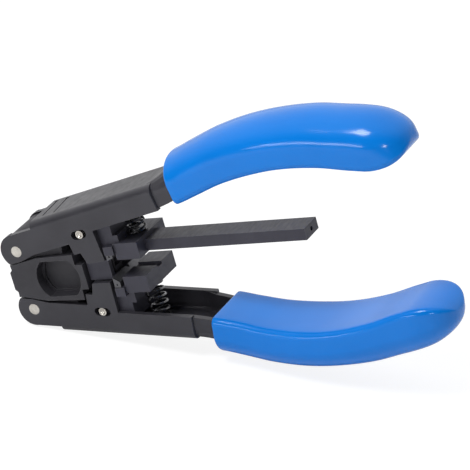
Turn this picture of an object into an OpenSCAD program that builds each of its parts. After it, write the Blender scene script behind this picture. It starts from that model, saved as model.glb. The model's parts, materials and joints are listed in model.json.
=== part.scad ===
// Plier-type stripper for flat fibre drop cable.
// Two stamped channel levers pivot on a cast centre body. Cross pins in slots of the
// levers carry two jaws straight towards each other, so the blades stay parallel.
// Construction axes: X from the nose to the handles, Y across, Z the opening direction,
// origin midway between the two pivots. The module stand() sets the tool on its lower side.

/* [Levers] */
// Thickness of the pressed sheet
sheet_t = 2; // [1.5:0.1:2.5]
// Overall width of the channel
channel_w = 22; // [19:0.5:27]
// Outside radius of the channel's bends
bend_r = 3; // [2.6:0.1:4]
// Pivot axis to the outside of the web
web_off = 8.3; // [7.6:0.1:10]
// Radius of the wall's round nose about the pivot
nose_r = 6.2; // [5.4:0.1:7]
// Pivot axis to the front edge of the web
web_front = 9.7; // [8:0.1:12]
// Wall height above the pivot in front of the web
nose_top = 6.1; // [5:0.1:6.2]
// Pivot axis down to the wall's lower edge beside the centre body
recess_v = 2.85; // [2.6:0.05:3.4]
// Pivot axis to the step where the channel narrows to the neck
neck_u = 61.4; // [56:0.1:72]
// Upper lever's angle when open
open_upper = 11.3; // [8:0.1:13]
// Lower lever's angle when open
open_lower = 6.4; // [4:0.1:10]
// Both levers' angle when closed
closed_angle = 2.4; // [2:0.1:3]

/* [Pivots and pins] */
// Distance between the two pivots
pivot_gap = 22; // [20:0.5:26]
// Diameter of the pivot rivets
rivet_d = 4; // [3.2:0.1:4.8]
// Wall of the bushes in the centre body
bush_wall = 1; // [0.8:0.1:1.4]
// Height of the rivets' domed ends
rivet_dome = 0.3; // [0.1:0.05:0.6]
// Diameter of the cross pins
pin_d = 2.9; // [2.4:0.1:3.4]
// Pivot axis to the middle of the slot, along the lever
slot_u = 27.3; // [26:0.1:30]
// Middle of the slot below the pivot axis
slot_v = 0.65; // [0:0.05:1.5]
// Length of the slot
slot_l = 6; // [5:0.1:7.5]
// Radial clearance of turning and sliding round fits
run_gap = 0.05; // [0.02:0.01:0.1]

/* [Centre body] */
// Pivot line to the flat nose
body_front = 5.2; // [4.6:0.1:6]
// Pivot line to the rear end of the flush faces
body_rear = 24.5; // [22:0.1:24.5]
// Radius of the round side pocket
pocket_r = 8.6; // [7:0.1:9]
// Depth of the side pocket
pocket_depth = 5; // [3:0.1:6]
// Height of the pocket between its two flats
pocket_h = 13.2; // [11:0.1:13.4]
// Thickness of the spine that guides the jaws
spine_t = 5; // [4:0.1:6]
// Side clearance between flat sliding faces
slide_gap = 0.15; // [0.1:0.05:0.3]

/* [Jaws] */
// Length of the jaw blocks along the cable
jaw_l = 9.3; // [8:0.1:12]
// Width of the jaw blocks
jaw_w = 20; // [18:0.1:21.6]
// Height of the jaw blocks
jaw_h = 6; // [5:0.1:8]
// Opening between the jaw faces
jaw_gap = 6.4; // [6:0.1:6.8]
// Middle of the opening above the middle of the tool
jaw_mid = 1.95; // [1.6:0.05:2.3]
// Thickness of the blades' backs
blade_t = 2.5; // [2:0.1:3]
// Width of the flat cable
cable_w = 3.1; // [2:0.1:4]
// Thickness of the flat cable
cable_t = 2; // [1.6:0.1:2.6]

/* [Gauge bar] */
// Free length of the bar behind the jaw
bar_l = 61; // [30:1:62]
// Width of the bar
bar_w = 9.4; // [7:0.1:12]
// Thickness of the bar
bar_t = 4.1; // [3:0.1:5]
// Step down to the bar's tenon inside the jaw block
bar_step = 0.4; // [0.2:0.1:0.8]
// Diameter of the hole in the end of the bar
bar_hole_d = 1.6; // [1:0.1:2]

/* [Springs] */
// Outside diameter of the springs
spring_d = 7.2; // [6:0.1:8.5]
// Wire of the springs
wire_d = 0.8; // [0.6:0.05:1.1]
// Turns of each spring
spring_turns = 7; // [5:1:9]
// Jaw block's rear face to the spring's axis
spring_back = 4.6; // [3.8:0.1:5.4]

/* [Grips] */
// Pivot axis to the front of the grip, along the lever
grip_front = 68.6; // [67:0.1:80]
// Length of the grip
grip_l = 89.4; // [80:0.5:105]
// Greatest width of the grip
grip_w = 26.6; // [25.6:0.1:34]
// Rounding of the grip's front edge
grip_edge = 2.6; // [2:0.1:3.5]
// Rounding of the grip's rear end
grip_end = 8; // [6:0.5:9]
// Clearance between the handle and the grip's pocket
grip_gap = 0.1; // [0.05:0.05:0.2]

/* [Hidden] */
$fn = 48;
BLACK = [0.2, 0.2, 0.23];
STEEL = [0.75, 0.73, 0.7];
BLUE = [0.05, 0.42, 0.85];
far = 200;

// ---- levers
wall_y = channel_w / 2;              // outside of the walls
mean_open = (open_upper + open_lower) / 2;
inner_y = wall_y - sheet_t;          // inside of the walls
web_in = web_off - sheet_t;          // pivot axis to the inside of the web
step_v = 7;                          // depth of the step in the tab's front edge
tab_front = slot_u - 5.4;            // front edge of the tab
tab_rear = slot_u + 6;               // rear edge of the tab
tab_v = 12.1;                        // pivot axis to the tab's lower corner
tab_rake = 0.9;                      // the tab's rear edge leans forward by this
window_v = 0.7;                      // wall edge behind the tab
neck_step = 1.2;                     // the neck is narrower than the channel by this, each side

// ---- positions that follow from the angles
function pin_reach(angle) = slot_u * cos(angle) + slot_v * sin(angle);
pin_x = (pin_reach(open_upper) + pin_reach(closed_angle)) / 2;
function pin_z(angle) = pivot_gap / 2 + slot_u * sin(angle) - slot_v * cos(angle);
upper_pin_z = pin_z(open_upper);
lower_pin_z = pin_z(open_lower);

// ---- jaws, in millimetres from the middle of the tool
upper_face = jaw_mid + jaw_gap / 2;
lower_face = jaw_gap / 2 - jaw_mid;
carrier_front = body_rear + 0.6;
cheek_rear = pin_x + 6.8;
jaw_rear = pin_x + 20.6;
jaw_front = jaw_rear - jaw_l;
carrier_y = inner_y - slide_gap;
cheek_t = 1.9;
tongue_y = carrier_y - cheek_t - slide_gap;
cheek_foot = 2.2;                    // foot of the cheeks below the middle of the tool
carrier_top = 4.2;                   // top of the carriers outside the pin axis
// front of the blade bars, clear of the open lever's tab
lug_x = (tab_rear - tab_rake) * cos(open_upper) + tab_v * sin(open_upper) + 0.4;
lug_l = 3.9;                         // length of the seat for a blade and its bar
lug_low = 8.45;                      // pin axis to the near face of the blade bar
lug_high = 5.2;                      // pin axis to the bottom of its seat
spring_x = jaw_rear - spring_back;
seat_d = spring_d - 2 * wire_d - 0.4; // boss inside a spring

// ---- travel
upper_travel = upper_pin_z - pin_z(closed_angle);
lower_travel = lower_pin_z - pin_z(closed_angle);
closed_mid = (upper_face - upper_travel - lower_face + lower_travel) / 2;
full_travel = upper_travel + lower_travel;

// spring seat on a lever, along its web
spring_u = (spring_x + web_in * sin(mean_open)) / cos(mean_open);

// Smooth curve through rows of numbers; the first number of a row is its place
function spline(a, b, c, d, t) = 0.5 * (2 * b + (c - a) * t + (2 * a - 5 * b + 4 * c - d) * t * t
                                 + (3 * b - a - 3 * c + d) * t * t * t);
function segment(rows, u) = max([for (k = [0:len(rows) - 2]) if (k == 0 || rows[k][0] <= u) k]);
function row_at(rows, u) =
    let (i = segment(rows, u), n = len(rows) - 1,
         t = (u - rows[i][0]) / (rows[i + 1][0] - rows[i][0]))
    spline(rows[max(i - 1, 0)], rows[i], rows[i + 1], rows[min(i + 2, n)], t);

// Handle: [place, top of the web, lower edge, half width, bend radius]
f = grip_front;
g = grip_l;
neck_y = wall_y - neck_step;
TANG = [[neck_u - 8, web_off - 0.06, -window_v + 0.06, wall_y - 0.06, bend_r],
        [neck_u - 4, web_off - 0.06, -window_v + 0.06, wall_y - 0.06, bend_r],
        [neck_u, web_off + 0.5, -0.1, neck_y, bend_r + 1.4],
        [f, web_off + 2.9, 0.9, neck_y - 0.5, 7],
        [f + 0.18 * g, web_off + 6.6, 3.4, neck_y - 0.7, 7.5],
        [f + 0.35 * g, web_off + 6.9, 4.2, neck_y - 0.7, 7.5],
        [f + 0.52 * g, web_off + 4.9, 2.2, neck_y - 0.8, 7.5],
        [f + 0.69 * g, web_off + 0.8, -1.8, neck_y - 1, 7.5],
        [f + 0.8 * g, web_off - 2.6, -5.2, neck_y - 1.6, 7]];

// Grip: [place, middle, half height, half width]
h = grip_w / 2;
GRIP = [[f, 4.2, 8.6, h - 0.5],
        [f + 0.04 * g, 5, 9, h - 0.4],
        [f + 0.1 * g, 6.9, 9.7, h - 0.2],
        [f + 0.18 * g, 9, 10.15, h],
        [f + 0.35 * g, 9.5, 9.9, h],
        [f + 0.52 * g, 7.4, 10.1, h],
        [f + 0.69 * g, 3.4, 10.05, h - 0.2],
        [f + 0.83 * g, -1.4, 10.5, h - 0.5],
        [f + 0.92 * g, -4.6, 10.6, h - 1],
        [f + g, -6.2, 10, h - 1.6]];
grip_sides = 28;
squareness = 2.35;

function oval_point(a, hy, hz) = [hy * pow(abs(cos(a)), 2 / squareness) * sign(cos(a)),
                                  hz * pow(abs(sin(a)), 2 / squareness) * sign(sin(a))];
function end_inset(u) =
    u < f + grip_edge ? grip_edge - sqrt(max(0, pow(grip_edge, 2) - pow(f + grip_edge - u, 2)))
    : u > f + g - grip_end ? grip_end - sqrt(max(0, pow(grip_end, 2) - pow(u - f - g + grip_end, 2)))
    : 0;
grip_places = concat([for (a = [0:22.5:67.5]) f + grip_edge * (1 - cos(a))],
                     [for (k = [0:17]) f + grip_edge + (g - grip_edge - grip_end) * k / 17],
                     [for (a = [15:15:90]) f + g - grip_end + grip_end * sin(a)]);
function grip_ring(u) =
    let (r = row_at(GRIP, u), i = end_inset(u))
    [for (k = [0:grip_sides - 1])
        let (q = oval_point(360 * k / grip_sides, r[3] - i, r[2] - i)) [u, q[0], r[1] + q[1]]];
grip_rings = [for (u = grip_places) grip_ring(u)];

// Channel section: outer line, then the inner line back, both with round bends
bend_steps = 5;
function bend(u, y, z, r, from, to) =
    [for (k = [0:bend_steps]) let (a = from + (to - from) * k / bend_steps)
        [u, y + r * cos(a), z + r * sin(a)]];
function channel_ring(u) =
    let (q = row_at(TANG, u), w = q[3], r = q[4], t = sheet_t - (u < neck_u - 3 ? 0.12 : 0),
         ri = max(r - t, 0.4), wi = w - t)
    concat([[u, -wi, q[2]]], bend(u, ri - wi, q[1] - t - ri, ri, 180, 90),
           bend(u, wi - ri, q[1] - t - ri, ri, 90, 0), [[u, wi, q[2]], [u, w, q[2]]],
           bend(u, w - r, q[1] - r, r, 0, 90), bend(u, r - w, q[1] - r, r, 90, 180), [[u, -w, q[2]]]);
gripped = [for (k = [0:11]) f + 0.8 * g * k / 11];
handle_places = concat([neck_u - 8, neck_u - 6], [for (k = [0:5]) neck_u - 3 + (f - neck_u + 3) * k / 6],
                       gripped);
// The handle's outline filled in, for the pocket in the grip
function filled_ring(u) =
    let (q = row_at(TANG, u), w = q[3] + grip_gap, r = q[4], z = q[1] + grip_gap)
    concat([[u, w, q[2] - grip_gap]], bend(u, w - r, z - r, r, 0, 90),
           bend(u, r - w, z - r, r, 90, 180), [[u, -w, q[2] - grip_gap]]);

module loft(rings) {
    n = len(rings[0]);
    m = len(rings);
    sides = [for (i = [0:m - 2]) for (k = [0:n - 1])
        let (a = i * n + k, b = i * n + (k + 1) % n) each [[a, b + n, b], [a, a + n, b + n]]];
    e = (m - 1) * n;
    caps = [for (k = [0:n / 2 - 2])
        let (p = n - 1 - k) each [[k, k + 1, p - 1], [k, p - 1, p], [e + k + 1, e + k, e + p - 1], [e + p - 1, e + k, e + p]]];
    polyhedron(points = [for (r = rings) each r], faces = concat(sides, caps), convexity = 6);
}

// ---- stance: the tool stands on the lower web's front edge and the lower grip's belly
function lower_at(p) = [p[0] * cos(open_lower) - p[2] * sin(open_lower), p[1],
                        -pivot_gap / 2 - p[0] * sin(open_lower) - p[2] * cos(open_lower)];
heel = lower_at([web_front, 0, web_off]);
lower_grip_points = [for (r = grip_rings) for (p = r) lower_at(p)];
tilt = -atan(min([for (p = lower_grip_points) if (p[0] > 40) (p[2] - heel[2]) / (p[0] - heel[0])]));
lift = -(heel[0] * sin(tilt) + heel[2] * cos(tilt));
rear_x = max([for (p = lower_grip_points) p[0] * cos(tilt) - p[2] * sin(tilt)]);
front_x = -pivot_gap / 2 * sin(tilt) - nose_r;
shift = -(rear_x + front_x) / 2;

module stand() {
    translate([shift, 0, lift])
        rotate([0, -tilt, 0])
            children();
}

module on_upper() {
    translate([0, 0, pivot_gap / 2])
        rotate([0, -open_upper, 0])
            children();
}

module on_lower() {
    mirror([0, 0, 1])
        translate([0, 0, pivot_gap / 2])
            rotate([0, -open_lower, 0])
                children();
}

// A flat outline in X and Z, given a width across Y
module across(width) {
    rotate([90, 0, 0])
        linear_extrude(width, center = true)
            children();
}

module rod_y(d, length) {
    rotate([90, 0, 0])
        cylinder(d = d, h = length, center = true);
}

module box(x0, x1, half_y, z0, z1) {
    translate([x0, -half_y, z0])
        cube([x1 - x0, 2 * half_y, z1 - z0]);
}

// ---- lever
module wall_outline() {
    intersection() {
        circle(nose_r);
        translate([-far, -recess_v - 1])
            square([far + 0.1, far]);
    }
    polygon([[0, -recess_v - 1], [nose_r, -recess_v], [tab_front, -recess_v], [tab_front, -step_v],
             [tab_front + 2.7, -step_v], [tab_front + 3.4, -tab_v + 0.8], [tab_rear - tab_rake, -tab_v],
             [tab_rear, -window_v], [neck_u, -window_v], [neck_u, web_off], [web_front, web_off],
             [web_front, nose_top], [0, nose_top]]);
}

// Square with its two upper corners rounded
module arch(half_w, top, r) {
    translate([-half_w, -far / 2])
        square([2 * half_w, far / 2 + top - r]);
    translate([-half_w + r, -far / 2])
        square([2 * (half_w - r), far / 2 + top]);
    for (side = [-1, 1])
        translate([side * (half_w - r), top - r])
            circle(r);
}

module along_x(length) {
    rotate([90, 0, 90])
        linear_extrude(length)
            children();
}

module slot_hole() {
    half = (slot_l - pin_d) / 2;
    translate([slot_u, 0, -slot_v]) {
        for (side = [-1, 1])
            translate([side * half, 0, 0])
                rod_y(pin_d + 4 * run_gap, far);
        box(-half, half, far / 2, -pin_d / 2 - 2 * run_gap, pin_d / 2 + 2 * run_gap);
    }
}

// Narrow cuts across the front of the web
module web_cut(u) {
    translate([u, 0, web_off - sheet_t - 1])
        rotate([0, 0, 8]) {
            translate([-0.3, -6.5, 0])
                cube([0.6, 13, sheet_t + 2]);
            translate([0, 6.5, 0])
                cylinder(d = 1.5, h = sheet_t + 2);
        }
}

module channel_head() {
    intersection() {
        across(channel_w)
            wall_outline();
        translate([-far / 4, 0, 0])
            along_x(far)
                difference() {
                    arch(wall_y, web_off, bend_r);
                    arch(inner_y, web_in, bend_r - sheet_t);
                }
    }
}

// The channel's walls run in to the neck at the end
module wall_run_in(side) {
    translate([neck_u, side * wall_y, 0])
        rotate([0, 0, side * 35])
            translate([-0.2, -neck_step * 1.2, -far / 2])
                cube([far / 10, neck_step * 2.4, far]);
}

module lever_plate() {
    difference() {
        union() {
            difference() {
                channel_head();
                wall_run_in(1);
                mirror([0, 1, 0])
                    wall_run_in(1);
            }
            loft([for (u = handle_places) channel_ring(u)]);
            translate([spring_u, 0, web_in - 1.2])
                cylinder(d = seat_d - 1.2, h = 1.6);
        }
        rod_y(rivet_d, far);
        slot_hole();
        web_cut(web_front + 3.2);
        web_cut(web_front + 8);
    }
}

module upper_lever() {
    color(BLACK)
        stand()
            on_upper()
                lever_plate();
}

module lower_lever() {
    color(BLACK)
        stand()
            on_lower()
                lever_plate();
}

module grip() {
    difference() {
        loft(grip_rings);
        loft([for (u = concat(f - 1, gripped, f + 0.8 * g + 0.3)) filled_ring(u)]);
    }
}

module upper_grip() {
    color(BLUE)
        stand()
            on_upper()
                grip();
}

module lower_grip() {
    color(BLUE)
        stand()
            on_lower()
                grip();
}

// ---- pivots
module domed_rod(d, length, dome) {
    r = (d * d / 4 + dome * dome) / (2 * dome);
    rod_y(d, length);
    for (side = [-1, 1])
        intersection() {
            translate([0, side * (length / 2 + dome - r), 0])
                rotate([90, 0, 0])
                    sphere(r);
            translate([0, side * length / 2, 0])
                rod_y(d, 2 * dome);
        }
}

module rivet() {
    domed_rod(rivet_d, channel_w, rivet_dome);
}

module bush() {
    difference() {
        rod_y(rivet_d + 2 * bush_wall, 2 * inner_y - 2 * slide_gap);
        rod_y(rivet_d + 2 * run_gap, far);
    }
}

module upper_rivet() {
    color(STEEL)
        stand()
            on_upper()
                rivet();
}

module lower_rivet() {
    color(STEEL)
        stand()
            on_lower()
                rivet();
}

module upper_bush() {
    color(STEEL)
        stand()
            translate([0, 0, pivot_gap / 2])
                bush();
}

module lower_bush() {
    color(STEEL)
        stand()
            translate([0, 0, -pivot_gap / 2])
                bush();
}

// ---- centre body
body_h = pivot_gap / 2 - recess_v - 0.1;  // flush faces beside the levers
corner_z = pivot_gap / 2 + tab_front * sin(closed_angle) - step_v - 0.35;

module body_outline() {
    polygon([[-body_front, -3.2], [-body_front, 3.2], [2 - nose_r, 4.2], [1.8 - nose_r, body_h - 2],
             [-2.2, body_h - 1.85], [0.6, body_h - 1.25], [nose_r + 0.5, body_h],
             [tab_front - 0.2, body_h + 0.4],
             [tab_front - 0.2, corner_z], [body_rear, corner_z], [body_rear, -corner_z],
             [tab_front - 0.2, -corner_z], [tab_front - 0.2, -body_h - 0.4], [nose_r + 0.5, -body_h],
             [0.6, 1.25 - body_h], [-2.2, 1.85 - body_h], [1.8 - nose_r, 2 - body_h], [2 - nose_r, -4.2]]);
}

module pocket_outline(shrink = 0) {
    intersection() {
        circle(pocket_r - shrink);
        square([4 * pocket_r, pocket_h - 2 * shrink], center = true);
    }
}

pocket_x = body_rear - 2.2 - pocket_r;

module centre_body_shape() {
    passage_w = cable_w + 0.6;
    passage_h = cable_t + 1;
    difference() {
        union() {
            across(channel_w)
                body_outline();
            for (side = [-1, 1]) {
                translate([0, 0, side * pivot_gap / 2])
                    rod_y(2 * (web_in - 0.7), 2 * carrier_y);
                box(0, 17, carrier_y, min(0, side * (pivot_gap / 2 + 3)), max(0, side * (pivot_gap / 2 + 3)));
            }
            box(body_rear - 1, cheek_rear - 2.4, spine_t / 2, -pivot_gap / 2 + 1.6, pivot_gap / 2 - 1.6);
        }
        for (side = [-1, 1]) {
            translate([0, 0, side * pivot_gap / 2])
                rod_y(rivet_d + 2 * bush_wall, far);
            translate([pocket_x, side * wall_y, 0]) {
                across(2 * pocket_depth - 1.6)
                    pocket_outline();
                across(2 * pocket_depth)
                    pocket_outline(0.9);
            }
        }
        box(-far / 4, far / 4, passage_w / 2, closed_mid - passage_h / 2, closed_mid + passage_h / 2);
        translate([-body_front - 0.01, 0, closed_mid])
            rotate([0, 90, 0])
                cylinder(d1 = passage_w + 3, d2 = passage_w, h = 2);
    }
}

module centre_body() {
    color(BLACK)
        stand()
            centre_body_shape();
}

// ---- jaws; outward is the direction away from the middle of the tool
module jaw_shape(pin_h, face) {
    difference() {
        union() {
            box(carrier_front, lug_x + 4, carrier_y, cheek_foot + full_travel + 1, pin_h + carrier_top);
            box(cheek_rear + slide_gap, jaw_front + 2, carrier_y, face, pin_h - 2);
            box(jaw_front, jaw_rear, jaw_w / 2, face, face + jaw_h);
        }
        translate([pin_x, 0, pin_h])
            rod_y(pin_d, far);
        // slot over the spine of the centre body
        box(-far, cheek_rear - 2.2, spine_t / 2 + slide_gap, -far, far);
        // seat of the blade and its bar
        box(lug_x, lug_x + lug_l, far / 2, face - 1, pin_h - lug_high);
        // channel for the cable
        box(cheek_rear - 3, far, cable_w / 2 + 0.1, face - 1, face + cable_t / 2);
        // clearance for the spring over the jaw block
        translate([spring_x, 0, face + jaw_h])
            cylinder(d = spring_d + 1, h = far);
    }
}

module upper_jaw_shape() {
    jaw_shape(upper_pin_z, upper_face);
    // cheeks that run over the lower jaw's tongue
    for (side = [-1, 1])
        translate([carrier_front, side * (carrier_y - cheek_t / 2), -cheek_foot])
            translate([0, -cheek_t / 2, 0])
                cube([cheek_rear - carrier_front, cheek_t, upper_pin_z + cheek_foot]);
}

module upper_jaw() {
    color(BLACK)
        stand()
            difference() {
                upper_jaw_shape();
                bar_seat();
                translate([pin_x, 0, upper_pin_z])
                    rod_y(pin_d, far);
                translate([spring_x, 0, 0])
                    cylinder(d = 3, h = far);
            }
}

module lower_jaw() {
    color(BLACK)
        stand()
            mirror([0, 0, 1]) {
                jaw_shape(lower_pin_z, lower_face);
                // tongue between the upper jaw's cheeks
                difference() {
                    box(carrier_front, lug_x, tongue_y, lower_face + 1.2, lower_pin_z - 2);
                    box(-far, cheek_rear - 2.2, spine_t / 2 + slide_gap, -far, far);
                }
                translate([spring_x, 0, lower_face + jaw_h])
                    cylinder(d = seat_d, h = 1.6);
            }
}

module cross_pin() {
    difference() {
        rod_y(pin_d, channel_w - 0.2);
        for (side = [-1, 1])
            translate([0, side * (wall_y + 0.6), 0])
                sphere(1.2);
    }
}

module upper_pin() {
    color(STEEL)
        stand()
            translate([pin_x, 0, upper_pin_z])
                cross_pin();
}

module lower_pin() {
    color(STEEL)
        stand()
            translate([pin_x, 0, -lower_pin_z])
                cross_pin();
}

// ---- blades: a ground bar with a bevelled edge and a notch that spares the fibre
module blade(face, pin_h) {
    high = pin_h - lug_low - face;
    difference() {
        translate([lug_x + 0.1, 0, face])
            across(jaw_w + 0.8)
                polygon([[0, 0], [blade_t, high * 0.45], [blade_t, high], [0, high]]);
        translate([lug_x, 0, face])
            rotate([0, 90, 0])
                cylinder(d = 1.4, h = 3 * blade_t, center = true);
        for (side = [-1, 1])
            translate([lug_x + 0.1 + blade_t / 2, side * (jaw_w / 2 + 0.4), face + high * 0.7])
                rod_y(0.7, 0.8);
    }
}

module blade_bar(pin_h) {
    difference() {
        box(lug_x + 0.1, lug_x + lug_l - 0.1, wall_y - 0.1, pin_h - lug_low, pin_h - lug_high - 0.1);
        screw_places(pin_h - lug_low - 1, lug_low - lug_high + 2);
    }
}

module screw_places(z, length) {
    for (side = [-1, 1])
        translate([lug_x + lug_l / 2, side * 5.5, z])
            cylinder(d = 1.6, h = length);
}

module blade_screws(pin_h) {
    screw_places(pin_h - lug_low + 0.4, lug_low - lug_high - 0.5);
}

module upper_blade() {
    color(STEEL)
        stand()
            blade(upper_face, upper_pin_z);
}

module lower_blade() {
    color(STEEL)
        stand()
            mirror([0, 0, 1])
                blade(lower_face, lower_pin_z);
}

module upper_blade_bar() {
    color(BLACK)
        stand()
            blade_bar(upper_pin_z);
}

module lower_blade_bar() {
    color(BLACK)
        stand()
            mirror([0, 0, 1])
                blade_bar(lower_pin_z);
}

module upper_blade_screws() {
    color(STEEL)
        stand()
            blade_screws(upper_pin_z);
}

module lower_blade_screws() {
    color(STEEL)
        stand()
            mirror([0, 0, 1])
                blade_screws(lower_pin_z);
}

// ---- gauge bar
bar_z = upper_face + 0.5;
bar_root = jaw_rear - 7;

// The bar's tenon inside the jaw block
module bar_seat() {
    box(bar_root, jaw_rear, bar_w / 2, bar_z, bar_z + bar_t - bar_step);
}

module gauge_bar() {
    color(BLACK)
        stand()
            difference() {
                union() {
                    bar_seat();
                    box(jaw_rear, jaw_rear + bar_l, bar_w / 2, bar_z, bar_z + bar_t);
                }
                translate([jaw_rear + bar_l + 0.01, 0, bar_z + bar_t / 2])
                    rotate([0, -90, 0])
                        cylinder(d = bar_hole_d, h = 5);
                translate([spring_x, 0, 0])
                    cylinder(d = 2.5, h = far);
            }
}

module gauge_bar_screw() {
    color(STEEL)
        stand()
            translate([spring_x, 0, 0]) {
                translate([0, 0, bar_z + 0.6])
                    cylinder(d = 2.5, h = upper_face + jaw_h - bar_z);
                translate([0, 0, upper_face + jaw_h])
                    cylinder(d = seat_d, h = 1.6);
            }
}

// ---- springs between the jaws and the webs
wire_sides = 6;
coil_steps = 14;

module coil(length) {
    r = (spring_d - wire_d) / 2;
    rise = length - wire_d;
    n = spring_turns * coil_steps;
    ends = 0.75;
    function climb(k) = let (q = k / coil_steps)
        q < ends ? 0 : q > spring_turns - ends ? rise : rise * (q - ends) / (spring_turns - 2 * ends);
    loft([for (k = [0:n]) let (a = 360 * k / coil_steps)
        [for (j = [0:wire_sides - 1]) let (b = -360 * j / wire_sides, q = r + wire_d / 2 * cos(b))
            [q * cos(a), q * sin(a), wire_d / 2 + climb(k) + wire_d / 2 * sin(b)]]]);
}

// Free height between a jaw block and the sloping web over it
function spring_room(angle, face) =
    pivot_gap / 2 + web_in / cos(angle) + (spring_x - spring_d / 2) * tan(angle) - face - jaw_h - 0.1;

module upper_spring() {
    color(STEEL)
        stand()
            translate([spring_x, 0, upper_face + jaw_h])
                coil(spring_room(open_upper, upper_face));
}

module lower_spring() {
    color(STEEL)
        stand()
            mirror([0, 0, 1])
                translate([spring_x, 0, lower_face + jaw_h])
                    coil(spring_room(open_lower, lower_face));
}

centre_body();
upper_bush();
lower_bush();
upper_rivet();
lower_rivet();
upper_lever();
lower_lever();
upper_grip();
lower_grip();
upper_jaw();
lower_jaw();
upper_pin();
lower_pin();
upper_blade();
lower_blade();
upper_blade_bar();
lower_blade_bar();
upper_blade_screws();
lower_blade_screws();
gauge_bar();
gauge_bar_screw();
upper_spring();
lower_spring();
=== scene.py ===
"""Looks of a plier-type drop cable stripper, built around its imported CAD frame."""
import json
import math

import bmesh
import bpy
from mathutils import Matrix, Vector


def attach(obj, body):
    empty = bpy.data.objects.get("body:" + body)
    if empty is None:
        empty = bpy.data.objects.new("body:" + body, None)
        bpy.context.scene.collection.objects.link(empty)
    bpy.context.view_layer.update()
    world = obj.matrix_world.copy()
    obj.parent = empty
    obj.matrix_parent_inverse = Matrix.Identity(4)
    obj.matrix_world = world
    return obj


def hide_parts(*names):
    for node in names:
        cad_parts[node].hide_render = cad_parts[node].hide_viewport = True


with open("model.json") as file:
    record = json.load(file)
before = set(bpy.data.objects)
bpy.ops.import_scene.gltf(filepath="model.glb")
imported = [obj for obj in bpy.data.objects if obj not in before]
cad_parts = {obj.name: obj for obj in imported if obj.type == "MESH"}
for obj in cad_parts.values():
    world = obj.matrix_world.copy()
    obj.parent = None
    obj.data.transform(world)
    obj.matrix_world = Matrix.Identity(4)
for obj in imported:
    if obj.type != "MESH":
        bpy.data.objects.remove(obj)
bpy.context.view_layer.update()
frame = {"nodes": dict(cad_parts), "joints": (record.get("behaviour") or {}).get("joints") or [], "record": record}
scene = bpy.context.scene

# ---- the tool's own axes: X from nose to handles, Y across, Z the opening direction
hinges = {j["name"]: Vector(j["pos_m"]) for j in frame["joints"] if j["type"] == "hinge"}
low_pivot, high_pivot = hinges["lower_lever_hinge"], hinges["upper_lever_hinge"]
PIVOT_GAP = (high_pivot - low_pivot).length * 1000
ORIGIN = (low_pivot + high_pivot) / 2
TOOL_Z = (high_pivot - low_pivot).normalized()
TOOL_Y = Vector((0, 1, 0))
TOOL_X = TOOL_Y.cross(TOOL_Z)
TOOL = Matrix((TOOL_X, TOOL_Y, TOOL_Z)).transposed()
MM = 0.001


def at(x, y, z):
    """A point given in millimetres along the tool's axes."""
    return ORIGIN + TOOL @ Vector((x, y, z)) * MM


# ---- sizes of the handle and grips, in millimetres along a lever
UPPER_OPEN = math.radians(11.3)
LOWER_OPEN = math.radians(6.4)
WALL_Y = 11.0
WEB_OFF = 8.3
BEND_R = 3.0
WINDOW_V = 0.7
NECK_U = 61.4
NECK_Y = WALL_Y - 1.2
CROWN_START = NECK_U - 13.4
GRIP_FRONT = 68.9
GRIP_L = 86.3
HALF_GRIP = 13.3
GRIP_EDGE = 0.8
GRIP_CORNER = 2.4
GRIP_END = 16.5
MOUTH_DEPTHS = (6.0, 3.0, 0.4, 0.0)
MOUTH_MIDDLE = (0, 6.5)
HANDLE_GAP = 0.1


def on_lever(upper, u, y, v):
    """Along a lever: u from its pivot, y across, v outwards from the middle of the tool."""
    angle = UPPER_OPEN if upper else LOWER_OPEN
    x = u * math.cos(angle) - v * math.sin(angle)
    z = PIVOT_GAP / 2 + u * math.sin(angle) + v * math.cos(angle)
    return at(x, y, z if upper else -z)


def row_at(rows, u):
    """Smooth curve through rows of numbers; the first number of a row is its place."""
    i = max(k for k in range(len(rows) - 1) if k == 0 or rows[k][0] <= u)
    t = (u - rows[i][0]) / (rows[i + 1][0] - rows[i][0])
    near = (rows[max(i - 1, 0)], rows[i], rows[i + 1], rows[min(i + 2, len(rows) - 1)])
    return [0.5 * (2 * q + (r - p) * t + (2 * p - 5 * q + 4 * r - s) * t ** 2
                   + (3 * q - p - 3 * r + s) * t ** 3)
            for p, q, r, s in zip(*near)]


def along_grip(part):
    return GRIP_FRONT + part * GRIP_L


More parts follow.
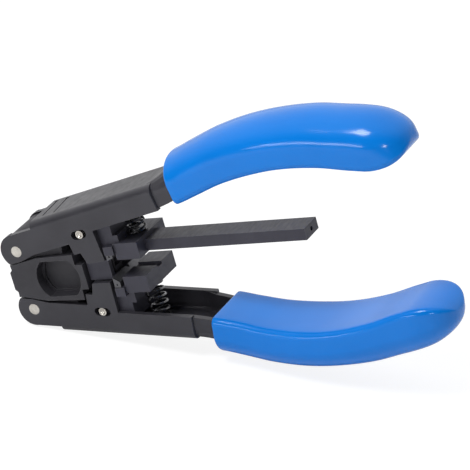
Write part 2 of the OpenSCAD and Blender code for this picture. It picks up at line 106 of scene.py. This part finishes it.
# The handle inside the grip, whose outline shapes the grip's mouth:
# place, shoulder, lower edge, half width, bend radius, rise of the crown, its half width
INSET = 0.02
HANDLE = [[CROWN_START - 0.6, WEB_OFF - INSET, INSET - WINDOW_V, WALL_Y - INSET, BEND_R, 0, 1],
          [CROWN_START + 1.4, WEB_OFF - INSET, INSET - WINDOW_V, WALL_Y - INSET, BEND_R, 0.15, 3],
          [CROWN_START + 5, WEB_OFF - INSET, INSET - WINDOW_V, WALL_Y - INSET, BEND_R, 0.9, 7],
          [NECK_U - 3.5, WEB_OFF - INSET, INSET - WINDOW_V, WALL_Y - INSET, BEND_R, 1.9, 8.4],
          [NECK_U - 1, WEB_OFF - 0.3, -WINDOW_V, WALL_Y - 0.2, BEND_R, 2.5, 8.8],
          [NECK_U + 1, WEB_OFF - 0.7, 0.2 - WINDOW_V, NECK_Y + 0.1, BEND_R, 3.2, 8.8],
          [NECK_U + 3, WEB_OFF - 1, 0.5 - WINDOW_V, NECK_Y - 0.1, BEND_R, 3.8, 8.8],
          [along_grip(0), WEB_OFF - 1.3, 0.9, NECK_Y - 0.3, BEND_R + 0.5, 5, 8.8],
          [along_grip(0.18), WEB_OFF + 1.9, 3.2, NECK_Y - 0.4, BEND_R + 0.5, 3.8, 8.6],
          [along_grip(0.35), WEB_OFF + 2.7, 4, NECK_Y - 0.4, BEND_R + 0.5, 3.8, 8.6],
          [along_grip(0.52), WEB_OFF + 1.5, 2.5, NECK_Y - 0.4, BEND_R + 0.5, 3.8, 8.6],
          [along_grip(0.69), WEB_OFF - 1.5, -1.6, NECK_Y - 0.6, BEND_R + 0.5, 3.8, 8.4],
          [along_grip(0.8), WEB_OFF - 4.7, -5.2, NECK_Y - 0.8, BEND_R + 0.5, 3.4, 8.2]]

# place, inner face, outer face, half width
GRIP = [[along_grip(0), -0.8, 14.8, HALF_GRIP - 1.4],
        [along_grip(0.1), 0.2, 16.2, HALF_GRIP - 1.6],
        [along_grip(0.22), 1.6, 17.7, HALF_GRIP - 1],
        [along_grip(0.36), 1.9, 18.1, HALF_GRIP - 0.2],
        [along_grip(0.5), 0.8, 17.1, HALF_GRIP],
        [along_grip(0.65), -2.4, 14.7, HALF_GRIP - 0.2],
        [along_grip(0.8), -7.2, 10.6, HALF_GRIP - 0.4],
        [along_grip(0.9), -9.8, 7.8, HALF_GRIP - 0.3],
        [along_grip(1), -11.4, 5, HALF_GRIP]]
SQUARENESS = 2.1
SIDE_PART = 0.4
END_POWER = 2.3


# ---- meshes
def new_object(name, verts, faces, smooth_angle=None):
    mesh = bpy.data.meshes.new(name)
    mesh.from_pydata([tuple(v) for v in verts], [], faces)
    made = bpy.data.objects.new(name, mesh)
    scene.collection.objects.link(made)
    clean = bmesh.new()
    clean.from_mesh(mesh)
    bmesh.ops.recalc_face_normals(clean, faces=clean.faces)
    for face in clean.faces:
        face.smooth = True
    if smooth_angle is not None:
        for edge in clean.edges:
            edge.smooth = len(edge.link_faces) == 2 and edge.calc_face_angle(0) < math.radians(smooth_angle)
    clean.to_mesh(mesh)
    clean.free()
    return made


def loft(rings):
    """Vertices and quads of a tube through rings with equal numbers of points, closed by flat caps."""
    n = len(rings[0])
    verts = [p for ring in rings for p in ring]
    faces = [(i * n + k, i * n + (k + 1) % n, (i + 1) * n + (k + 1) % n, (i + 1) * n + k)
             for i in range(len(rings) - 1) for k in range(n)]
    last = (len(rings) - 1) * n
    faces.append(tuple(range(n - 1, -1, -1)))
    faces.append(tuple(range(last, last + n)))
    return verts, faces


# ---- grips: a flat inner face with round corners, straight sides and a round outer face
def grip_section(u, corner_steps=8, outer_steps=22):
    _, inner, outer, half = row_at(GRIP, u)
    shoulder = inner + SIDE_PART * (outer - inner)
    side = []
    for k in range(corner_steps + 1):
        a = math.radians(90 * k / corner_steps - 90)
        side.append((half - GRIP_CORNER * (1 - math.cos(a)), inner + GRIP_CORNER * (1 + math.sin(a))))
    for k in range(1, outer_steps + 1):
        a = math.radians(90 * k / (outer_steps + 0.5))
        side.append((half * math.cos(a) ** (2 / SQUARENESS),
                     shoulder + (outer - shoulder) * math.sin(a) ** (2 / SQUARENESS)))
    flat = [(half - GRIP_CORNER) * k / 4 for k in range(-3, 4)]
    return [(y, inner) for y in flat] + side + [(-y, v) for y, v in reversed(side)], (inner + outer) / 2


def end_part(u):
    """Share of the full section left at a place on the grip."""
    rear = (u - GRIP_FRONT - GRIP_L + GRIP_END) / GRIP_END
    edge = 1 - (u - GRIP_FRONT) / GRIP_EDGE
    if rear > 0:
        return (1 - rear ** END_POWER) ** (1 / END_POWER)
    if edge > 0:
        return 1 - GRIP_EDGE / HALF_GRIP * (1 - math.sqrt(max(0, 1 - edge ** 2)))
    return 1


def ray_hit(outline, centre, aim):
    """How far a ray from centre through aim reaches an outline, as a share of the way to aim."""
    dy, dv = aim[0] - centre[0], aim[1] - centre[1]
    best = 1e9
    for (ay, av), (by, bv) in zip(outline, outline[1:] + outline[:1]):
        ey, ev = by - ay, bv - av
        cross = dy * ev - dv * ey
        if abs(cross) < 1e-12:
            continue
        far = ((ay - centre[0]) * ev - (av - centre[1]) * ey) / cross
        side = ((ay - centre[0]) * dv - (av - centre[1]) * dy) / cross
        if far > 1e-9 and -1e-9 <= side <= 1 + 1e-9:
            best = min(best, far)
    return best


def bulge(x):
    return (1 + math.cos(math.pi * x)) / 2 if abs(x) < 1 else 0


def web_line(row, half, top, radius, bend_steps=8, crown_steps=16):
    """The web's outline from its right bend to its left one, with the crown pressed into it."""
    line = []
    for k in range(bend_steps + 1):
        a = math.radians(90 * k / bend_steps)
        line.append((half - radius + radius * math.cos(a), top - radius + radius * math.sin(a)))
    for k in range(1, crown_steps):
        line.append(((half - radius) * (1 - 2 * k / crown_steps), top))
    line += [(-y, v) for y, v in reversed(line[:bend_steps + 1])]
    return [(y, v + row[5] * bulge(y / row[6])) for y, v in line]


def filled_outline(u, gap):
    row = row_at(HANDLE, u)
    low = row[2] - gap
    line = web_line(row, row[3] + gap, row[1] + gap, row[4])
    return [(row[3] + gap, low)] + line + [(-row[3] - gap, low)]


EDGE_ANGLES = (0, 22.5, 45, 67.5, 90)
END_ANGLES = (6, 12, 18, 24, 30, 36, 42, 48, 54, 60, 66, 72, 77, 81, 84, 86.5, 88.5)
MIDDLE_RINGS = 40


def grip_rings():
    """Rings from the rim at the front to the rounded end, closer together where the form turns."""
    middle_l = GRIP_L - GRIP_END - GRIP_EDGE
    fronts = [GRIP_FRONT + GRIP_EDGE * (1 - math.cos(math.radians(a))) for a in EDGE_ANGLES]
    middle = [GRIP_FRONT + GRIP_EDGE + middle_l * k / MIDDLE_RINGS for k in range(1, MIDDLE_RINGS + 1)]
    ends = [GRIP_FRONT + GRIP_L - GRIP_END * (1 - math.sin(math.radians(a))) for a in END_ANGLES]
    rings = []
    for u in fronts + middle + ends:
        section, mid = grip_section(u)
        share = end_part(u)
        rings.append([(u, y * share, mid + (v - mid) * share) for y, v in section])
    return rings


def make_grip(upper):
    """A dipped sleeve in place of the CAD grip, open at the front round the handle."""
    rings = grip_rings()
    mouth = []
    section = grip_section(GRIP_FRONT)[0]
    for depth in MOUTH_DEPTHS:
        u = GRIP_FRONT + depth
        outline = filled_outline(u, HANDLE_GAP)
        mouth.append([(u, *(m + (q - m) * ray_hit(outline, MOUTH_MIDDLE, p) for m, q in zip(MOUTH_MIDDLE, p)))
                      for p in section])
    verts, faces = loft(mouth + rings)
    name = ("upper" if upper else "lower") + "_grip"
    placed = [on_lever(upper, *p) for p in verts]
    grip = new_object(name + "_sleeve", placed, faces, 60)
    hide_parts(name)
    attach(grip, ("upper" if upper else "lower") + "_lever")
    return grip


# ---- camera
CAMERA_AT = (519.58, -715.52, 316.53)
CAMERA_RIGHT = (0.86904, 0.42368, -0.25546)
CAMERA_UP = (0.05777, 0.42593, 0.90291)
CAMERA_BACK = (0.49135, -0.79943, 0.34567)
LENS_MM = 206.5


def make_camera():
    camera = bpy.data.objects.new("camera", bpy.data.cameras.new("camera"))
    scene.collection.objects.link(camera)
    turn = Matrix((TOOL @ Vector(CAMERA_RIGHT), TOOL @ Vector(CAMERA_UP), TOOL @ Vector(CAMERA_BACK)))
    camera.matrix_world = Matrix.Translation(at(*CAMERA_AT)) @ turn.transposed().to_4x4()
    camera.data.lens = LENS_MM
    camera.data.sensor_width = 36
    camera.data.clip_start = 0.05
    scene.camera = camera


# ---- materials
class Nodes:
    """A material under construction, with short ways to add and join its nodes."""

    def __init__(self, name):
        self.material = bpy.data.materials.new(name)
        self.material.use_nodes = True
        self.tree = self.material.node_tree
        self.tree.nodes.clear()
        self.out = self.tree.nodes.new("ShaderNodeOutputMaterial")

    def add(self, kind, **inputs):
        node = self.tree.nodes.new("ShaderNode" + kind)
        for key, value in inputs.items():
            node.inputs[key.replace("_", " ")].default_value = value
        return node

    def join(self, source, target):
        self.tree.links.new(source, target)

    def place(self, stretch=(1, 1, 1)):
        where = self.add("TexCoord")
        scale = self.add("Mapping", Scale=stretch)
        self.join(where.outputs["Object"], scale.inputs["Vector"])
        return scale.outputs["Vector"]

    def noise(self, scale, detail=2.0, rough=0.5, stretch=(1, 1, 1)):
        texture = self.add("TexNoise", Scale=scale, Detail=detail, Roughness=rough)
        self.join(self.place(stretch), texture.inputs["Vector"])
        return texture.outputs["Fac"]

    def spread(self, value, low, high, from_low=0.3, from_high=0.7):
        span = self.add("MapRange", From_Min=from_low, From_Max=from_high, To_Min=low, To_Max=high)
        self.join(value, span.inputs["Value"])
        return span.outputs["Result"]

    def tint(self, value, dark, light):
        ramp = self.add("ValToRGB")
        ramp.color_ramp.elements[0].position = 0.3
        ramp.color_ramp.elements[0].color = (*dark, 1)
        ramp.color_ramp.elements[1].position = 0.7
        ramp.color_ramp.elements[1].color = (*light, 1)
        self.join(value, ramp.inputs["Fac"])
        return ramp.outputs["Color"]

    def worn_edges(self, colour, bare, radius=0.0003, amount=0.5):
        """The colour rubbed through to a barer one, in patches along the edges."""
        bevel = self.add("Bevel", Radius=radius)
        bevel.samples = 4
        agree = self.add("VectorMath")
        agree.operation = "DOT_PRODUCT"
        self.join(bevel.outputs["Normal"], agree.inputs[0])
        self.join(self.add("NewGeometry").outputs["Normal"], agree.inputs[1])
        rubbed = self.spread(agree.outputs["Value"], amount, 0, 0.88, 0.99)
        patches = self.add("Math")
        patches.operation = "MULTIPLY"
        self.join(rubbed, patches.inputs[0])
        self.join(self.spread(self.noise(420, 4), 0, 1, 0.4, 0.65), patches.inputs[1])
        mix = self.add("Mix")
        mix.data_type = "RGBA"
        factor, colour_a, colour_b = mix.inputs[0], mix.inputs[6], mix.inputs[7]
        colour_b.default_value = (*bare, 1)
        self.join(patches.outputs[0], factor)
        self.join(colour, colour_a)
        return mix.outputs[2]

    def bump(self, heights):
        last = None
        for height, distance, strength in heights:
            node = self.add("Bump", Strength=strength, Distance=distance)
            self.join(height, node.inputs["Height"])
            if last:
                self.join(last, node.inputs["Normal"])
            last = node.outputs["Normal"]
        return last

    def surface(self, colour, rough, normal=None, **fixed):
        shader = self.add("BsdfPrincipled")
        for key, value in fixed.items():
            shader.inputs[key.replace("_", " ")].default_value = value
        self.join(colour, shader.inputs["Base Color"])
        self.join(rough, shader.inputs["Roughness"])
        if normal:
            self.join(normal, shader.inputs["Normal"])
        self.join(shader.outputs[0], self.out.inputs[0])
        return self.material


def blue_vinyl():
    n = Nodes("blue_vinyl")
    broad, fine, scuff = n.noise(35, 3), n.noise(900, 2), n.noise(160, 4, 0.6, (1, 1, 3))
    colour = n.tint(broad, (0.0020, 0.172, 0.62), (0.0027, 0.196, 0.69))
    colour = n.worn_edges(colour, (0.02, 0.26, 0.74), 0.0005, 0.3)
    rough = n.spread(scuff, 0.12, 0.2)
    return n.surface(colour, rough, n.bump([(broad, 0.0004, 0.12), (fine, 0.00002, 0.15)]), IOR=1.42,
                     Specular_IOR_Level=0.4)


def black_steel(name, dark, light, rough_low, rough_high, grain, metal):
    n = Nodes(name)
    broad, fine, streak = n.noise(60, 4), n.noise(1400, 2), n.noise(260, 4, 0.6, grain)
    colour = n.worn_edges(n.tint(broad, dark, light), (0.16, 0.16, 0.165))
    rough = n.spread(streak, rough_low, rough_high)
    return n.surface(colour, rough, n.bump([(streak, 0.00003, 0.2), (fine, 0.00002, 0.3)]), Metallic=metal)


def bright_steel(name, dark, light, rough_low, rough_high):
    n = Nodes(name)
    broad, fine = n.noise(500, 4), n.noise(2600, 2)
    colour = n.worn_edges(n.tint(broad, dark, light), (0.75, 0.74, 0.72), 0.00015, 0.4)
    rough = n.spread(fine, rough_low, rough_high)
    return n.surface(colour, rough, n.bump([(broad, 0.00005, 0.3), (fine, 0.00002, 0.3)]), Metallic=1.0)


def slot_materials():
    cast = black_steel("cast_black", (0.026, 0.025, 0.031), (0.038, 0.037, 0.045),
                       0.42, 0.62, (1, 1, 1), 0.2)
    pressed = black_steel("pressed_black", (0.034, 0.033, 0.040), (0.048, 0.047, 0.056),
                          0.30, 0.42, (1, 1, 4), 0.35)
    milled = black_steel("milled_black", (0.036, 0.035, 0.048), (0.052, 0.051, 0.068),
                         0.34, 0.5, (6, 1, 1), 0.4)
    dark_wire = bright_steel("dark_wire", (0.10, 0.10, 0.105), (0.20, 0.20, 0.21), 0.22, 0.36)
    silver = bright_steel("silver", (0.50, 0.47, 0.43), (0.68, 0.65, 0.60), 0.26, 0.42)
    return {"body": cast, "lever": pressed, "grip": blue_vinyl(), "rivet": silver, "bush": silver, "jaw": milled,
            "blade": black_steel("blade_black", (0.10, 0.10, 0.11), (0.15, 0.15, 0.16),
                                 0.3, 0.45, (1, 6, 1), 0.9),
            "blade_bar": milled, "screw": dark_wire, "bar": milled, "spring": dark_wire}


# ---- stage
FLOOR_HALF = 3.0
FLOOR_GLOW = 0.86
FLOOR_TINT = 0.22


def make_floor():
    """A plain diffuse floor for the object; to the camera it is white and keeps the shadow."""
    half = FLOOR_HALF
    corners = [(-half, -half, 0), (half, -half, 0), (half, half, 0), (-half, half, 0)]
    floor = new_object("floor", corners, [(0, 1, 2, 3)])
    n = Nodes("floor")
    path = n.add("LightPath")
    plain = n.add("BsdfDiffuse", Color=(0.8, 0.8, 0.8, 1))
    seen = n.add("BsdfDiffuse", Color=(FLOOR_TINT, FLOOR_TINT, FLOOR_TINT, 1))
    glow = n.add("Emission", Color=(1, 1, 1, 1), Strength=FLOOR_GLOW)
    both, pick = n.add("AddShader"), n.add("MixShader")
    n.join(seen.outputs[0], both.inputs[0])
    n.join(glow.outputs[0], both.inputs[1])
    n.join(path.outputs["Is Camera Ray"], pick.inputs[0])
    n.join(plain.outputs[0], pick.inputs[1])
    n.join(both.outputs[0], pick.inputs[2])
    n.join(pick.outputs[0], n.out.inputs[0])
    floor.data.materials.append(n.material)


def area_light(name, place, aim, size, watts, size_y=None):
    data = bpy.data.lights.new(name, "AREA")
    data.energy = watts
    data.size = size
    if size_y:
        data.shape = "RECTANGLE"
        data.size_y = size_y
    lamp = bpy.data.objects.new(name, data)
    lamp.location = place
    lamp.rotation_euler = (Vector(aim) - Vector(place)).to_track_quat("-Z", "Y").to_euler()
    scene.collection.objects.link(lamp)


# the surroundings: where they are bright, over which cosines they fade, and both levels
BRIGHT_SIDE = (-0.30, 0.72, 0.62)
FADE = (-0.1, 0.8)
DIM_LEVEL, BRIGHT_LEVEL = 0.03, 1.0


def make_world():
    """White to the camera; for the object, light from above and behind that fades to a dim front."""
    world = bpy.data.worlds.new("world")
    scene.world = world
    world.use_nodes = True
    tree = world.node_tree
    tree.nodes.clear()
    out = tree.nodes.new("ShaderNodeOutputWorld")
    where = tree.nodes.new("ShaderNodeTexCoord")
    toward = tree.nodes.new("ShaderNodeVectorMath")
    toward.operation = "DOT_PRODUCT"
    toward.inputs[1].default_value = Vector(BRIGHT_SIDE).normalized()
    level = tree.nodes.new("ShaderNodeMapRange")
    level.interpolation_type = "SMOOTHSTEP"
    for key, value in zip(("From Min", "From Max", "To Min", "To Max"), (*FADE, DIM_LEVEL, BRIGHT_LEVEL)):
        level.inputs[key].default_value = value
    around = tree.nodes.new("ShaderNodeBackground")
    white = tree.nodes.new("ShaderNodeBackground")
    path = tree.nodes.new("ShaderNodeLightPath")
    pick = tree.nodes.new("ShaderNodeMixShader")
    tree.links.new(where.outputs["Generated"], toward.inputs[0])
    tree.links.new(toward.outputs["Value"], level.inputs["Value"])
    tree.links.new(level.outputs["Result"], around.inputs["Strength"])
    tree.links.new(path.outputs["Is Camera Ray"], pick.inputs[0])
    tree.links.new(around.outputs[0], pick.inputs[1])
    tree.links.new(white.outputs[0], pick.inputs[2])
    tree.links.new(pick.outputs[0], out.inputs[0])
    around.inputs["Color"].default_value = (1, 1, 1, 1)
    white.inputs["Color"].default_value = (1, 1, 1, 1)


scene.view_settings.view_transform = "Standard"
make_camera()
make_floor()
make_world()
area_light("key", (-0.25, -0.45, 1.05), (0, 0, 0.05), 0.35, 7.5)
area_light("side", (0.75, -1.0, 0.45), (0, 0, 0.05), 0.22, 2.6)
area_light("card", (-0.30, -0.75, 0.22), (0.02, 0, 0.08), 0.45, 1.3, 0.1)

MATERIALS = slot_materials()
slots = {row["node"]: row["material_slot"] for row in frame["record"]["subparts"]}
for name, obj in frame["nodes"].items():
    obj.data.materials.clear()
    obj.data.materials.append(MATERIALS[slots[name]])
for upper in (True, False):
    make_grip(upper).data.materials.append(MATERIALS["grip"])
